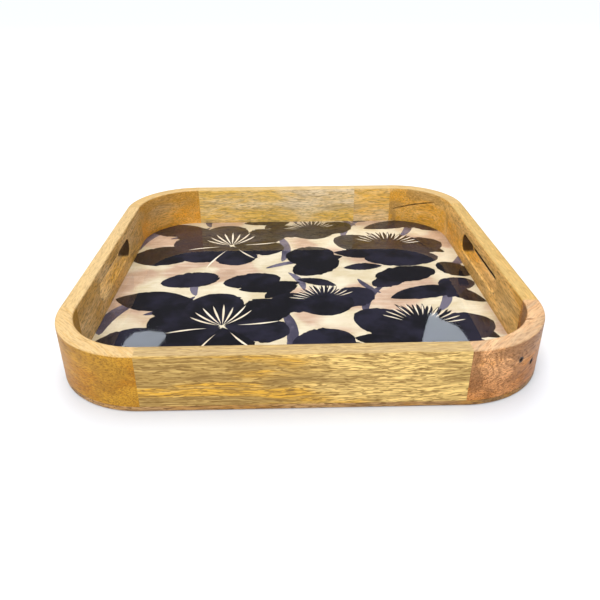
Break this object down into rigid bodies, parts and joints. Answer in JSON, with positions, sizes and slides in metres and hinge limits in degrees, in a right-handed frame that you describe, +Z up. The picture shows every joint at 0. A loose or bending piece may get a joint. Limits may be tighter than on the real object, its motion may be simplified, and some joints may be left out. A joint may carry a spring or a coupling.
{
  "type": "serving tray",
  "caption": "Square solid-wood serving tray with rounded corners, a handle slot through each side wall and a printed floral panel under clear glossy resin",
  "frame": {"origin": "middle of the underside, on the surface the tray stands on", "axes": "+X to the right-hand handle, +Y away from the front wall, +Z up"},
  "size_m": [0.4, 0.4, 0.05],
  "materials": {
    "golden_wood": "satin lacquered, golden brown with dark pores",
    "olive_wood": "satin lacquered, olive yellow with dark wavy grain",
    "pale_wood": "satin lacquered, pale straw with greenish-brown streaks",
    "brown_wood": "satin lacquered, brown to orange",
    "reddish_wood": "satin lacquered, pinkish red-brown with small knots",
    "base_wood": "satin, reddish tan board",
    "dowel_wood": "plain hardwood dowel",
    "screw_steel": "zinc-plated steel",
    "printed_paper": "cream sheet printed with dark blossoms and blush washes",
    "clear_resin": "clear glossy poured resin"
  },
  "bodies": {
    "root": {"front_rail": "olive_wood", "back_rail_long": "pale_wood", "back_rail_short": "pale_wood", "left_rail": "golden_wood", "right_rail": "golden_wood", "front_left_corner": "golden_wood", "front_right_corner": "reddish_wood", "back_left_corner": "brown_wood", "back_right_corner": "golden_wood", "base_board": "base_wood", "print_sheet": "printed_paper", "resin_coat": "clear_resin", "dowel_front_left_lower": "dowel_wood", "dowel_front_left_upper": "dowel_wood", "dowel_front_right_lower": "dowel_wood", "dowel_front_right_upper": "dowel_wood", "dowel_right_front_lower": "dowel_wood", "dowel_right_front_upper": "dowel_wood", "dowel_right_back_lower": "dowel_wood", "dowel_right_back_upper": "dowel_wood", "dowel_back_right_lower": "dowel_wood", "dowel_back_right_upper": "dowel_wood", "dowel_back_middle_lower": "dowel_wood", "dowel_back_middle_upper": "dowel_wood", "dowel_back_left_lower": "dowel_wood", "dowel_back_left_upper": "dowel_wood", "dowel_left_back_lower": "dowel_wood", "dowel_left_back_upper": "dowel_wood", "dowel_left_front_lower": "dowel_wood", "dowel_left_front_upper": "dowel_wood", "screw_front_1": "screw_steel", "screw_front_2": "screw_steel", "screw_right_1": "screw_steel", "screw_right_2": "screw_steel", "screw_left_1": "screw_steel", "screw_left_2": "screw_steel", "screw_back_1": "screw_steel", "screw_back_2": "screw_steel", "screw_back_3": "screw_steel", "screw_front_left_corner": "screw_steel", "screw_front_right_corner": "screw_steel", "screw_back_right_corner": "screw_steel", "screw_back_left_corner": "screw_steel"}
  },
  "joints": []
}
